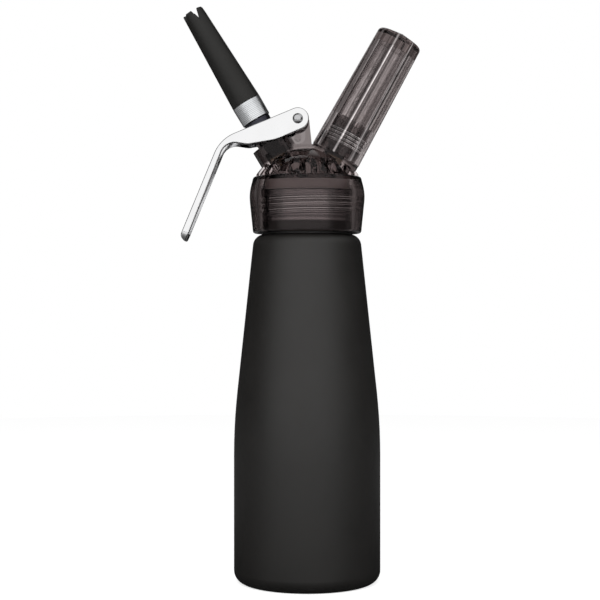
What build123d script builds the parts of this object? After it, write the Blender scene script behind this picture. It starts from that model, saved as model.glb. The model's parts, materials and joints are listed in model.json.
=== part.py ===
from build123d import *

import os
from math import cos, degrees, radians, sin, tan

# Whipped cream dispenser. Millimetres. The origin is the centre of the bottle's foot on the
# ground, +Z runs up the bottle, +X points to the charger side and -Y is the front.
# Heights are over the ground. A "reach" is a distance along a slanted axis, measured from the
# point where that axis crosses the bottle's axis.

# ---------------------------------------------------------------- clearances
seat_gap = 0.05
fit_gap = 0.02
running_gap = 0.05
clear_gap = 0.3
cut_over = 1.0

# ---------------------------------------------------------------- bottle
bottle_radius = 40.0
bottle_wall = 1.5
base_corner_radius = 7.0
base_dish_depth = 2.0
base_foot_width = 4.0
taper_start_height = 87.0
taper_blend_radius = 330.0
shoulder_height = 190.2
shoulder_radius = 29.0
shoulder_rounding = 6.5
neck_band_radius = 24.6
neck_band_length = 6.8
neck_core_radius = 23.5
neck_bore_radius = 21.0
neck_lip_rounding = 0.6

# ---------------------------------------------------------------- threads
thread_sink = 0.3
head_pitch = 3.0
head_thread_depth = 1.0
head_thread_turns = 4
head_thread_runout = 2.2
head_thread_clearance = 0.35
holder_pitch = 2.0
holder_thread_depth = 0.7
holder_thread_turns = 5
holder_thread_runout = 4.0
holder_thread_clearance = 0.3
nozzle_pitch = 1.5
nozzle_thread_depth = 0.6
nozzle_thread_turns = 4
nozzle_thread_runout = 1.2
nozzle_thread_clearance = 0.2
ridge_root_share = 0.53
ridge_crest_share = 0.23

# ---------------------------------------------------------------- head moulding
skirt_bottom_radius = 29.55
skirt_bottom_rounding = 1.5
skirt_bulge_radius = 31.75
skirt_bulge_drop = 9.2
skirt_bulge_rounding = 25.0
skirt_top_radius = 29.4
skirt_top_rounding = 1.4
skirt_clearance = 0.5
cap_plate_thickness = 3.0
gasket_thickness = 5.0
gasket_inner_radius = 18.5
gasket_outer_radius = 23.2
gasket_recess_clearance = 0.2
gasket_recess_overhang = 0.3
dome_height = 16.0
dome_sphere_radius = 34.0
dome_foot_radius = 28.0
arch_count = 16
arch_width = 6.8
arch_height = 9.0
arch_inner_radius = 19.0
arch_first_angle = -84.4

# ---------------------------------------------------------------- valve, on its slanted axis
valve_slant = 30.6
valve_axis_drop = 12.6
valve_travel = 3.45
valve_boss_radius = 10.8
valve_boss_start = 17.2
valve_boss_drop = 6.5
valve_neck_radius = 7.0
valve_flat_depth = 4.7
valve_seat_reach = 19.2
seal_pocket_radius = 7.6
seal_radius = 7.0
seal_thickness = 2.5
port_zone_length = 5.0
port_zone_radius = 4.8
port_radius = 1.2
port_count = 4
spigot_radius = 2.4
nut_radius = 5.4
nut_thickness = 2.8
stem_waist_radius = 3.2
stem_radius = 4.0
stem_bore_radius = 1.9
stem_shank_radius = 4.6
stem_shank_length = 6.5
stem_rim_radius = 7.4
stem_rim_thickness = 2.4
stem_flange_radius = 6.8
stem_flange_thickness = 1.4
stem_ring_depth = 0.8
stem_ring_width = 1.3
stem_ring_spacing = 2.2
stem_ring_setback = 0.8
bush_length = 8.0
spring_bore_radius = 5.7
spring_length = 12.8
spring_wire_radius = 0.45
spring_turns = 7
spring_washer_thickness = 0.8

# ---------------------------------------------------------------- nozzle, on the valve's axis
collar_length = 11.4
collar_bottom_radius = 8.1
collar_top_radius = 8.3
collar_chamfer = 0.4
collar_chamber_radius = 5.5
nozzle_washer_thickness = 1.2
nozzle_washer_inner_radius = 2.6
tip_length = 57.5
tip_base_radius = 8.25
tip_mouth_radius = 6.0
tip_throat_radius = 3.4
tip_bore_base_radius = 5.4
tip_bore_mouth_radius = 4.2
tip_prong_count = 5
tip_first_slot_angle = -25.0
tip_slot_depth = 6.6
tip_slot_width = 3.6
tip_rounding = 0.35

# ---------------------------------------------------------------- lever
pivot_offset = 19.3
pivot_drop = 4.7
arm_angle = 22.7
handle_angle = 67.2
ear_radius = 6.0
ear_thickness = 2.2
fork_clearance = 0.6
arm_length = 43.0
arm_belly_length = 15.0
arm_belly_drop = 0.2
arm_hump_to_bend = 12.5
arm_hump_drop = 2.6
arm_plate_to_bend = 14.5
plate_thickness = 1.8
handle_length = 56.7
handle_root_depth = 3.2
handle_depth = 4.0
handle_tip_slant = 2.3
handle_tip_half_width = 8.0
handle_tip_outer_rounding = 3.0
handle_tip_inner_rounding = 1.0
handle_side_rounding = 6.0
handle_side_blend = 40.0
handle_taper_start = 6.0
bend_radius = 20.0
belly_radius = 30.0
hump_radius = 8.0
throat_radius = 8.0
lever_edge_rounding = 0.8
stud_radius = 1.6
stud_gap = 0.1
stud_clearance = 0.5
pin_radius = 2.0
pin_head_radius = 2.8
pin_head_height = 1.7
pin_head_rim_height = 0.3
pin_recess_radius = 3.4
pin_recess_depth = 0.6
pin_tail_length = 2.4
clip_radius = 3.9
clip_thickness = 0.8
clip_groove_depth = 0.5
clip_mouth_width = 2.6
pivot_bush_wall = 0.95

# ---------------------------------------------------------------- pivot web of the head
web_thickness = 10.0
web_boss_radius = 5.4
web_side_clearance = 0.4
web_back_offset = 6.2
web_foot_thickness = 14.0
web_foot_rise = 1.4
web_foot_reach = 5.5
web_pocket_radius = 4.1
web_pocket_boss_radius = 1.9
web_pocket_depth = 2.0
web_pocket_drop = 9.2

# ---------------------------------------------------------------- charger side, on its axis
charger_slant = 29.0
charger_axis_drop = 13.0
holder_bottom_reach = 32.2
holder_length = 72.7
holder_end_dome = 2.9
holder_end_rounding = 2.0
holder_bottom_radius = 14.1
holder_top_radius = 12.8
holder_end_wall = 6.9
holder_bore_radius = 11.0
holder_rib_radius = 9.6
holder_rib_width = 4.4
holder_rib_count = 8
holder_first_groove_angle = -97.0
holder_groove_start = 8.5
holder_groove_depth = 0.8
holder_groove_width = 1.5
charger_flange_inset = 0.2
charger_flange_start = 18.6
charger_cup_radius = 9.5
charger_cup_depth = 6.0
charger_cone_length = 4.0
charger_boss_wall = 1.4
charger_well_radius = 5.0
charger_well_floor_reach = 23.9
filter_radius = 3.6
filter_thickness = 1.2
insert_thickness = 5.7
insert_ring_depth = 0.9
insert_ring_width = 1.4
needle_radius = 1.4
needle_bore_radius = 0.5
needle_seat_depth = 3.4
needle_stand_out = 5.2
needle_point_length = 2.2
needle_point_radius = 0.65
gas_bore_radius = 0.8
charger_seal_thickness = 1.6
charger_seal_inner_radius = 2.0
check_recess_radius = 3.0
check_recess_reach = 18.6
check_disc_thickness = 0.8
check_ring_thickness = 1.1
check_ring_inner_radius = 1.6

# ---------------------------------------------------------------- heights that follow
neck_band_top = shoulder_height + neck_band_length
neck_thread_start = neck_band_top + head_thread_runout
neck_top_height = neck_thread_start + head_thread_turns * head_pitch + head_thread_runout
gasket_bottom_height = neck_top_height + seat_gap
ceiling_height = gasket_bottom_height + gasket_thickness + seat_gap
cap_top_height = ceiling_height + cap_plate_thickness
dome_top_height = cap_top_height + dome_height
skirt_bottom_height = shoulder_height + skirt_clearance
skirt_bore_radius = neck_core_radius + head_thread_depth + head_thread_clearance
gasket_recess_bottom = neck_top_height + gasket_recess_overhang

# ---------------------------------------------------------------- reaches up the valve's axis
bush_bottom = valve_seat_reach + port_zone_length
bush_top = bush_bottom + bush_length
spring_bottom = bush_top + seat_gap
spring_top = spring_bottom + spring_length
spring_washer_bottom = spring_top + seat_gap
flange_bottom = spring_washer_bottom + spring_washer_thickness + seat_gap
flange_top = flange_bottom + stem_flange_thickness
valve_neck_top = flange_bottom - valve_travel - clear_gap
valve_boss_top = flange_bottom - valve_boss_drop
shank_top = flange_top + stem_shank_length
nozzle_thread_start = shank_top + nozzle_thread_runout
stem_top = nozzle_thread_start + nozzle_thread_turns * nozzle_pitch + nozzle_thread_runout
stem_core_radius = stem_shank_radius - nozzle_thread_depth
collar_bottom = shank_top + clear_gap
collar_top = collar_bottom + collar_length
collar_chamber_start = stem_top - clear_gap
nozzle_washer_bottom = stem_top + seat_gap
tip_spigot_bottom = nozzle_washer_bottom + nozzle_washer_thickness + seat_gap
tip_top = collar_top + tip_length
seal_top = valve_seat_reach - seat_gap
seal_bottom = seal_top - seal_thickness
nut_top = seal_bottom - seat_gap
nut_bottom = nut_top - nut_thickness

# ---------------------------------------------------------------- reaches up the charger's axis
flange_reach = holder_bottom_reach - clear_gap
boss_core_radius = charger_cup_radius + charger_boss_wall
holder_thread_start = holder_bottom_reach + holder_thread_runout
cup_floor_reach = holder_thread_start + holder_thread_turns * holder_pitch - clear_gap
boss_top_reach = cup_floor_reach + charger_cup_depth
cone_floor_reach = cup_floor_reach - charger_cone_length
holder_thread_bore = boss_core_radius + holder_thread_depth + holder_thread_clearance
filter_bottom = charger_well_floor_reach + seat_gap
insert_bottom = filter_bottom + filter_thickness + seat_gap
insert_top = insert_bottom + insert_thickness
insert_radius = charger_well_radius - fit_gap
charger_seal_bottom = insert_top + seat_gap
needle_bottom = insert_top - needle_seat_depth
needle_top = insert_top + needle_stand_out

# ---------------------------------------------------------------- lever layout
fork_half_gap = collar_top_radius + fork_clearance
fork_half_width = fork_half_gap + ear_thickness
web_boss_half_width = fork_half_gap - web_side_clearance
stud_reach = flange_top + stud_gap + stud_radius
pivot_reach = flange_top - pivot_drop
clip_inner_face = fork_half_width + 2 * seat_gap


def axis_plane(crossing_height, tilt):
    """Plane at a slanted axis's crossing: its Z runs up the axis, its Y is the global Y."""
    up = (sin(radians(tilt)), 0, cos(radians(tilt)))
    across = (cos(radians(tilt)), 0, -sin(radians(tilt)))
    return Plane(origin=(0, 0, crossing_height), x_dir=across, z_dir=up)


valve_axis = axis_plane(ceiling_height - valve_axis_drop, -valve_slant)
charger_axis = axis_plane(ceiling_height - charger_axis_drop, charger_slant)
pivot = valve_axis.from_local_coords(Vector(pivot_offset, 0, pivot_reach))


# ================================================================ shared shapes
def cylinder(radius, bottom, top):
    """Solid cylinder on the local Z axis from bottom to top."""
    length = top - bottom
    return Pos(0, 0, bottom) * Cylinder(radius, length, align=(Align.CENTER, Align.CENTER, Align.MIN))


def tube(outer_radius, inner_radius, bottom, top):
    """Ring or tube on the local Z axis."""
    margin = top - bottom
    return cylinder(outer_radius, bottom, top) - cylinder(inner_radius, bottom - margin, top + margin)


def cone(bottom_radius, top_radius, bottom, top):
    """Solid frustum on the local Z axis."""
    length = top - bottom
    shape = Cone(bottom_radius, top_radius, length, align=(Align.CENTER, Align.CENTER, Align.MIN))
    return Pos(0, 0, bottom) * shape


def turned(points, radii):
    """Solid turned about Z from (radius, height) points between two on Z, inner corners rounded."""
    line = FilletPolyline(*points, radius=radii)
    axis_line = Line(points[-1], points[0])
    return revolve(Plane.XZ * make_face([*line.edges(), axis_line]), Axis.Z)


def cross_cylinder(radius, x, z, front, back):
    """Solid cylinder along the global Y from front to back."""
    plane = Plane(origin=(x, front, z), x_dir=(1, 0, 0), z_dir=(0, 1, 0))
    return plane * cylinder(radius, 0, back - front)


def thread_ridge(radius, pitch, depth, start, turns, inward=False):
    """One helical ridge on a cylinder; it stands inward or outward and is sunk at its root."""
    side = -1 if inward else 1
    path = Helix(pitch=pitch, height=turns * pitch, radius=radius)
    root = pitch * ridge_root_share / 2
    crest = pitch * ridge_crest_share / 2
    lean = (root - crest) * thread_sink / depth
    section = Polygon(
        (-side * thread_sink, -root - lean),
        (-side * thread_sink, root + lean),
        (side * depth, crest),
        (side * depth, -crest),
        align=None,
    )
    placed = Plane(origin=path @ 0, x_dir=(1, 0, 0), z_dir=(0, -1, 0)) * section
    return Pos(0, 0, start) * sweep(placed, path=path, is_frenet=True)


# ================================================================ bottle
def bottle_form(inset, floor_height):
    """The bottle's body below its neck, drawn inwards by inset."""
    points = [
        (0, floor_height),
        (bottle_radius - inset, floor_height),
        (bottle_radius - inset, taper_start_height),
        (shoulder_radius - inset, shoulder_height - inset),
        (0, shoulder_height - inset),
    ]
    radii = [base_corner_radius - inset, taper_blend_radius, shoulder_rounding - inset]
    return turned(points, radii)


def bottle():
    """Drawn aluminium bottle with a dished base and an outside thread on its neck."""
    foot_radius = bottle_radius - base_corner_radius
    dish = cone(foot_radius - base_foot_width, foot_radius - 2 * base_foot_width, 0, base_dish_depth)
    neck_foot = shoulder_height - bottle_wall
    band = cylinder(neck_band_radius, neck_foot, neck_band_top)
    core = cylinder(neck_core_radius, neck_foot, neck_top_height)
    lip = core.edges().filter_by(GeomType.CIRCLE).sort_by(Axis.Z)[-1]
    core = fillet(lip, neck_lip_rounding)
    ridge = thread_ridge(
        neck_core_radius, head_pitch, head_thread_depth, neck_thread_start, head_thread_turns
    )
    inside = bottle_form(bottle_wall, base_dish_depth + bottle_wall)
    bore = cylinder(neck_bore_radius, neck_foot - bottle_wall, neck_top_height + bottle_wall)
    return bottle_form(0, 0) + band + core - dish - inside - bore + ridge


# ================================================================ head
def skirt_and_cap():
    """Outer body of revolution of the head, still solid inside."""
    points = [
        (0, skirt_bottom_height),
        (skirt_bottom_radius, skirt_bottom_height),
        (skirt_bulge_radius, cap_top_height - skirt_bulge_drop),
        (skirt_top_radius, cap_top_height),
        (0, cap_top_height),
    ]
    return turned(points, [skirt_bottom_rounding, skirt_bulge_rounding, skirt_top_rounding])


def dome():
    """Shallow dome on the cap with a ring of arched recesses between radial ribs."""
    ball = Pos(0, 0, dome_top_height - dome_sphere_radius) * Sphere(dome_sphere_radius)
    body = ball & cylinder(dome_foot_radius, cap_top_height - seat_gap, dome_top_height)
    depth = dome_sphere_radius - arch_inner_radius
    straight = arch_height - arch_width / 2
    opening = Pos(0, straight / 2) * Rectangle(arch_width, straight)
    opening += Pos(0, straight) * Circle(arch_width / 2)
    for number in range(arch_count):
        angle = arch_first_angle + number * 360 / arch_count
        way = (cos(radians(angle)), sin(radians(angle)), 0)
        start = Vector(*way) * arch_inner_radius + Vector(0, 0, cap_top_height)
        plane = Plane(origin=start, x_dir=(-way[1], way[0], 0), z_dir=way)
        body -= extrude(plane * opening, depth)
    return body


def valve_boss():
    """Boss and neck for the valve, with flats that clear the lever's ears."""
    boss = cylinder(valve_boss_radius, valve_boss_start, valve_boss_top)
    flat_offset = fork_half_gap - 2 * clear_gap + valve_boss_radius
    for side in (-1, 1):
        cut = Box(4 * valve_boss_radius, 2 * valve_boss_radius, 2 * valve_flat_depth)
        boss -= Pos(0, side * flat_offset, valve_boss_top) * cut
    return valve_axis * (boss + cylinder(valve_neck_radius, valve_boss_start, valve_neck_top))


def pivot_web():
    """Upright web that carries the lever's pivot, with its foot on the dome."""
    foot_height = dome_top_height + web_foot_rise
    shoulder = valve_axis.from_local_coords(Vector(valve_neck_radius, 0, valve_neck_top))
    neck_root = valve_axis.from_local_coords(Vector(0, 0, valve_boss_top))
    right = pivot.X + web_back_offset
    low = cap_top_height + clear_gap
    outline = Polygon(
        (shoulder.X, shoulder.Z),
        (pivot.X, pivot.Z + web_boss_radius),
        (right, pivot.Z),
        (right + web_foot_rise, foot_height),
        (right + web_foot_rise, low),
        (neck_root.X, low),
        (neck_root.X, neck_root.Z),
        align=None,
    )
    corner = 4 * web_boss_radius
    outline -= Pos(pivot.X, pivot.Z) * Rectangle(corner, corner, align=(Align.MIN, Align.MIN))
    web = extrude(Plane.XZ * outline, web_thickness / 2, both=True)
    half = web_boss_half_width
    boss = cross_cylinder(web_boss_radius, pivot.X, pivot.Z, -half, half)
    foot = Pos((neck_root.X + web_foot_reach) / 2, 0, (low + foot_height) / 2) * Box(
        web_foot_reach - neck_root.X, web_foot_thickness, foot_height - low
    )
    return web + boss + foot


def web_pocket(side):
    """Rounded slot in one face of the web with a small boss left standing in it."""
    face = side * web_thickness / 2
    floor = side * (web_thickness / 2 - web_pocket_depth)
    low, high = sorted((face + side * clear_gap, floor))
    z = pivot.Z - web_pocket_drop
    hollow = cross_cylinder(web_pocket_radius, pivot.X, z, low, high)
    hollow += Pos(pivot.X, (low + high) / 2, z + web_pocket_radius / 2) * Box(
        2 * web_pocket_radius, high - low, web_pocket_radius
    )
    return hollow - cross_cylinder(web_pocket_boss_radius, pivot.X, z, low, high)


def valve_cavities():
    """Stepped bore for the valve: seal pocket, port zone, bush and spring bore."""
    pocket = cylinder(seal_pocket_radius, 0, valve_seat_reach)
    ports = cylinder(port_zone_radius, valve_seat_reach - clear_gap, bush_bottom + clear_gap)
    bore = cylinder(spring_bore_radius, bush_bottom, valve_neck_top + spring_bore_radius)
    return valve_axis * (pocket + ports + bore)


def charger_boss():
    """Flange under the charger holder and the threaded boss inside it."""
    flange = cylinder(holder_bottom_radius - charger_flange_inset, charger_flange_start, flange_reach)
    boss = cylinder(boss_core_radius, charger_flange_start, boss_top_reach)
    ridge = thread_ridge(
        boss_core_radius, holder_pitch, holder_thread_depth, holder_thread_start, holder_thread_turns
    )
    return charger_axis * (flange + boss + ridge)


def charger_cavities():
    """Cup, cone and well for a charger's neck, the gas bore and the check valve's recess."""
    cup = cylinder(charger_cup_radius, cup_floor_reach, boss_top_reach + charger_cup_depth)
    funnel = cone(charger_well_radius, charger_cup_radius, cone_floor_reach, cup_floor_reach)
    well = cylinder(charger_well_radius, charger_well_floor_reach, cone_floor_reach)
    gas_top = charger_well_floor_reach + clear_gap
    gas = cylinder(gas_bore_radius, check_recess_reach - clear_gap, gas_top)
    recess = cylinder(check_recess_radius, 0, check_recess_reach)
    return charger_axis * (cup + funnel + well + gas + recess)


def head_body():
    """Transparent head moulding with its inside thread."""
    solid = skirt_and_cap() + dome() + valve_boss() + charger_boss() + pivot_web()
    cavity = cylinder(skirt_bore_radius, 0, gasket_recess_bottom)
    recess_radius = gasket_outer_radius + gasket_recess_clearance
    recess = cylinder(recess_radius, gasket_recess_bottom - clear_gap, ceiling_height)
    bush_hole = cross_cylinder(
        pin_radius + pivot_bush_wall + running_gap + fit_gap,
        pivot.X,
        pivot.Z,
        -fork_half_width,
        fork_half_width,
    )
    solid = solid - cavity - recess - valve_cavities() - charger_cavities() - bush_hole
    solid = solid - web_pocket(-1) - web_pocket(1)
    ridge = thread_ridge(
        skirt_bore_radius,
        head_pitch,
        head_thread_depth,
        neck_thread_start + head_pitch / 2,
        head_thread_turns - 1,
        inward=True,
    )
    return solid + ridge


def head_gasket():
    """Flat silicone ring between the bottle's lip and the head."""
    return tube(
        gasket_outer_radius,
        gasket_inner_radius,
        gasket_bottom_height,
        gasket_bottom_height + gasket_thickness,
    )


def pivot_bush():
    """Sleeve in the web that the lever's pin turns in."""
    bore = pin_radius + running_gap
    half = web_boss_half_width
    sleeve = cross_cylinder(bore + pivot_bush_wall, pivot.X, pivot.Z, -half, half)
    return sleeve - cross_cylinder(bore, pivot.X, pivot.Z, -2 * half, 2 * half)


# ================================================================ valve pieces
def valve_bush():
    """Brass guide that the stem slides in and the spring stands on."""
    return valve_axis * tube(
        spring_bore_radius - fit_gap, stem_radius + running_gap, bush_bottom, bush_top
    )


def ring_reaches():
    """Middles of the two O-rings on the stem."""
    first = bush_top - stem_ring_setback - stem_ring_width / 2
    return [first, first - stem_ring_spacing]


def valve_stem():
    """Hollow stem: spigot, waist with ports, guided shaft, flange, shank and threaded top."""
    stem = cylinder(spigot_radius, nut_bottom - clear_gap, valve_seat_reach)
    stem += cylinder(stem_waist_radius, valve_seat_reach, bush_bottom + clear_gap)
    stem += cylinder(stem_radius, bush_bottom + clear_gap, flange_bottom)
    stem += cylinder(stem_flange_radius, flange_bottom, flange_top)
    stem += cylinder(stem_shank_radius, flange_top, shank_top)
    stem += cylinder(stem_rim_radius, shank_top - stem_rim_thickness, shank_top)
    stem += cylinder(stem_core_radius, shank_top, stem_top)
    for reach in ring_reaches():
        stem -= tube(
            2 * stem_radius,
            stem_radius - stem_ring_depth,
            reach - stem_ring_width / 2,
            reach + stem_ring_width / 2,
        )
    port_reach = valve_seat_reach + port_zone_length / 2
    stem -= cylinder(stem_bore_radius, port_reach, stem_top + stem_bore_radius)
    for number in range(port_count):
        port = Pos(0, 0, port_reach) * Rot(0, 90, number * 360 / port_count) * cylinder(
            port_radius, 0, stem_radius
        )
        stem -= port
    stem += thread_ridge(
        stem_core_radius, nozzle_pitch, nozzle_thread_depth, nozzle_thread_start, nozzle_thread_turns
    )
    return valve_axis * stem


def stem_o_rings():
    """Two rubber rings in the stem's grooves."""
    inner = stem_radius - stem_ring_depth + fit_gap
    outer = stem_radius + running_gap / 2
    half = stem_ring_width / 2 - seat_gap
    rings = [tube(outer, inner, reach - half, reach + half) for reach in ring_reaches()]
    rounded = [fillet(ring.edges(), (outer - inner) / 4) for ring in rings]
    return valve_axis * Compound(children=rounded)


def valve_seal():
    """Rubber disc that closes the seat from inside the head."""
    return valve_axis * tube(seal_radius, spigot_radius + fit_gap, seal_bottom, seal_top)


def valve_nut():
    """Hexagon nut that holds the rubber disc on the stem."""
    prism = Pos(0, 0, nut_bottom) * extrude(RegularPolygon(nut_radius, 6), nut_thickness)
    hole = cylinder(spigot_radius + fit_gap, nut_bottom - cut_over, nut_top + cut_over)
    return valve_axis * (prism - hole)


def valve_spring():
    """Steel return spring round the stem, with its ends drawn inside its own length."""
    mean_radius = (stem_radius + spring_bore_radius) / 2
    height = spring_length - 2 * spring_wire_radius
    path = Helix(pitch=height / spring_turns, height=height, radius=mean_radius)
    wire = Plane(origin=path @ 0, z_dir=path % 0) * Circle(spring_wire_radius)
    coil = sweep(wire, path=path, is_frenet=True)
    return valve_axis * Pos(0, 0, spring_bottom + spring_wire_radius) * coil


def spring_washer():
    """Thin steel washer between the spring and the stem's flange."""
    return valve_axis * tube(
        spring_bore_radius - clear_gap / 2,
        stem_radius + running_gap,
        spring_washer_bottom,
        spring_washer_bottom + spring_washer_thickness,
    )


# ================================================================ nozzle
def nozzle_collar():
    """Turned metal collar with the inside thread that screws on the stem."""
    collar = cone(collar_bottom_radius, collar_top_radius, collar_bottom, collar_top)
    collar = chamfer(collar.edges(), collar_chamfer)
    bore_radius = stem_shank_radius + nozzle_thread_clearance
    collar -= cylinder(bore_radius, collar_bottom - cut_over, collar_chamber_start + cut_over)
    collar -= cylinder(collar_chamber_radius, collar_chamber_start, collar_top + cut_over)
    collar += thread_ridge(
        bore_radius,
        nozzle_pitch,
        nozzle_thread_depth,
        nozzle_thread_start + nozzle_pitch / 2,
        nozzle_thread_turns - 1,
        inward=True,
    )
    return valve_axis * collar


def nozzle_washer():
    """Sealing washer between the stem's end and the tip's spigot."""
    return valve_axis * tube(
        collar_chamber_radius - clear_gap / 2,
        nozzle_washer_inner_radius,
        nozzle_washer_bottom,
        nozzle_washer_bottom + nozzle_washer_thickness,
    )


def nozzle_tip():
    """Tapered plastic tip with a star mouth, its spigot held in the collar."""
    tip = cone(tip_base_radius, tip_mouth_radius, collar_top, tip_top)
    tip = fillet(tip.edges().sort_by(Axis.Z)[-1], tip_rounding)
    tip += cylinder(collar_chamber_radius - fit_gap, tip_spigot_bottom, collar_top)
    tip -= cylinder(tip_throat_radius, tip_spigot_bottom - cut_over, collar_top + cut_over)
    tip -= cone(tip_bore_base_radius, tip_bore_mouth_radius, collar_top + cut_over, tip_top)
    wedge = Polygon(
        (0, tip_top - tip_slot_depth),
        (tip_slot_width / 2, tip_top),
        (tip_slot_width / 2, tip_top + cut_over),
        (-tip_slot_width / 2, tip_top + cut_over),
        (-tip_slot_width / 2, tip_top),
        align=None,
    )
    slot = extrude(Plane.XZ * wedge, -2 * tip_base_radius)
    for number in range(tip_prong_count):
        tip -= Rot(0, 0, tip_first_slot_angle + number * 360 / tip_prong_count) * slot
    return valve_axis * tip


# ================================================================ lever
def lever_point(along_arm, over_arm):
    """Point in the XZ plane, from the pivot: down the arm and square to it."""
    a = radians(arm_angle)
    x = pivot.X - along_arm * cos(a) - over_arm * sin(a)
    z = pivot.Z - along_arm * sin(a) + over_arm * cos(a)
    return Vector(x, z)


def handle_point(bend, down_handle, inward):
    """Point in the XZ plane, from the bend: down the handle and square to it, bottle side."""
    h = radians(handle_angle)
    x = bend.X - down_handle * cos(h) + inward * sin(h)
    z = bend.Y - down_handle * sin(h) - inward * cos(h)
    return Vector(x, z)


def lever_outline():
    """Side view of the lever: round ear, arm, bend and handle."""
    top = lever_point(0, ear_radius)
    bottom = lever_point(0, -ear_radius)
    far = lever_point(-ear_radius, 0)
    bend = lever_point(arm_length, ear_radius)
    throat = handle_point(bend, 0, handle_root_depth)
    hump = lever_point(arm_length - arm_hump_to_bend, -arm_hump_drop)
    belly = lever_point(arm_belly_length, -ear_radius - arm_belly_drop)
    tip_outer = handle_point(bend, handle_length, 0)
    tip_inner = handle_point(bend, handle_length + handle_tip_slant, handle_depth)
    line = FilletPolyline(
        top,
        bend,
        tip_outer,
        tip_inner,
        throat,
        hump,
        belly,
        bottom,
        radius=[
            bend_radius,
            handle_tip_outer_rounding,
            handle_tip_inner_rounding,
            throat_radius,
            hump_radius,
            belly_radius,
        ],
    )
    ear = ThreePointArc(bottom, far, top)
    return make_face([*line.edges(), ear])


def lever_hollow_outline():
    """Side view of the space under the lever's top plate, open towards the bottle."""
    half_turn = radians(handle_angle - arm_angle) / 2
    plate_start = arm_length - arm_plate_to_bend
    start = lever_point(plate_start, ear_radius + plate_thickness)
    under = lever_point(plate_start, ear_radius - plate_thickness)
    corner = lever_point(arm_length - plate_thickness * tan(half_turn), ear_radius - plate_thickness)
    end = handle_point(corner, handle_length - 2 * plate_thickness, 0)
    out = handle_point(end, 0, 4 * handle_depth)
    below = lever_point(-2 * ear_radius, -4 * ear_radius)
    above = lever_point(-2 * ear_radius, ear_radius + plate_thickness)
    return make_face(
        FilletPolyline(
            start,
            under,
            corner,
            end,
            out,
            below,
            above,
            start,
            radius=[0, 0, bend_radius - plate_thickness, plate_thickness, 0, 0, 0],
        ).edges()
    )


def lever_plan(inset):
    """Prism square to the handle: full width at the fork, narrower towards a rounded tip."""
    bend = lever_point(arm_length, ear_radius)
    origin = Vector(bend.X, 0, bend.Y)
    h = radians(handle_angle)
    plane = Plane(origin=origin, x_dir=(-cos(h), 0, -sin(h)), z_dir=(sin(h), 0, -cos(h)))
    reach = arm_length + 2 * ear_radius
    wide = fork_half_width - inset
    narrow = handle_tip_half_width - inset
    end = handle_length + handle_tip_slant - inset
    points = [
        (-reach, -wide),
        (handle_taper_start, -wide),
        (end, -narrow),
        (end, narrow),
        (handle_taper_start, wide),
        (-reach, wide),
    ]
    tip_round = handle_side_rounding - inset
    radii = [handle_side_blend, tip_round, tip_round, handle_side_blend]
    line = FilletPolyline(*points, radius=radii)
    closing = Line(points[-1], points[0])
    return extrude(plane * make_face([*line.edges(), closing]), 2 * arm_length, both=True)


def lever_blank():
    """The lever before it is hollowed, with the edges of its two sides rounded."""
    body = extrude(Plane.XZ * lever_outline(), fork_half_width, both=True) & lever_plan(0)
    sides = [face for face in body.faces() if abs(face.normal_at().Y) > 0.5]
    edges = [edge for side in sides for edge in side.edges()]
    return fillet([edge for edge in edges if edges.count(edge) == 1], lever_edge_rounding)


def lever():
    """Chromed lever: a fork round the collar, a channel-shaped arm and handle, two studs."""
    body = lever_blank()
    hollow = extrude(Plane.XZ * lever_hollow_outline(), fork_half_gap, both=True)
    body -= hollow & lever_plan(ear_thickness)
    stud_at = valve_axis.from_local_coords(Vector(0, 0, stud_reach))
    stud_end = stem_shank_radius + stud_clearance
    root = fork_half_gap + ear_thickness / 4
    body += cross_cylinder(stud_radius, stud_at.X, stud_at.Z, stud_end, root)
    body += cross_cylinder(stud_radius, stud_at.X, stud_at.Z, -root, -stud_end)
    body -= cross_cylinder(
        pin_radius + fit_gap, pivot.X, pivot.Z, -2 * fork_half_width, 2 * fork_half_width
    )
    floor = pin_recess_depth - fork_half_width
    recess = cross_cylinder(pin_recess_radius, pivot.X, pivot.Z, -2 * fork_half_width, floor)
    return body - recess


def lever_pin():
    """Pivot pin: domed head in the front ear, grooved tail behind the rear ear."""
    seat = pin_recess_depth - fork_half_width - seat_gap
    crown = seat - pin_head_height
    rim = seat - pin_head_rim_height
    groove_start = clip_inner_face - seat_gap
    groove_end = clip_inner_face + clip_thickness + seat_gap
    points = [
        (0, crown),
        (pin_head_radius, crown),
        (pin_head_radius, seat),
        (pin_radius, seat),
        (pin_radius, groove_start),
        (pin_radius - clip_groove_depth, groove_start),
        (pin_radius - clip_groove_depth, groove_end),
        (pin_radius, groove_end),
        (pin_radius, fork_half_width + pin_tail_length),
        (0, fork_half_width + pin_tail_length),
    ]
    sharp = [0] * 7
    pin = turned(points, [*sharp, clear_gap])
    foot_radius = pin_head_radius + running_gap
    dome_radius = (foot_radius**2 + (rim - crown) ** 2) / (2 * (rim - crown))
    ball = Pos(0, 0, crown + dome_radius) * Sphere(dome_radius)
    pin -= cylinder(2 * pin_head_radius, crown - cut_over, rim) - ball
    plane = Plane(origin=(pivot.X, 0, pivot.Z), x_dir=(1, 0, 0), z_dir=(0, 1, 0))
    return plane * pin


def lever_pin_clip():
    """Open retaining ring in the pin's groove behind the rear ear."""
    inner = pin_radius - clip_groove_depth + fit_gap
    ring = tube(clip_radius, inner, clip_inner_face, clip_inner_face + clip_thickness)
    mouth_at = Pos(clip_radius, 0, clip_inner_face)
    mouth = mouth_at * Box(2 * clip_radius, clip_mouth_width, 4 * clip_thickness)
    plane = Plane(origin=(pivot.X, 0, pivot.Z), x_dir=(1, 0, 0), z_dir=(0, 1, 0))
    return plane * (ring - mouth)


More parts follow.
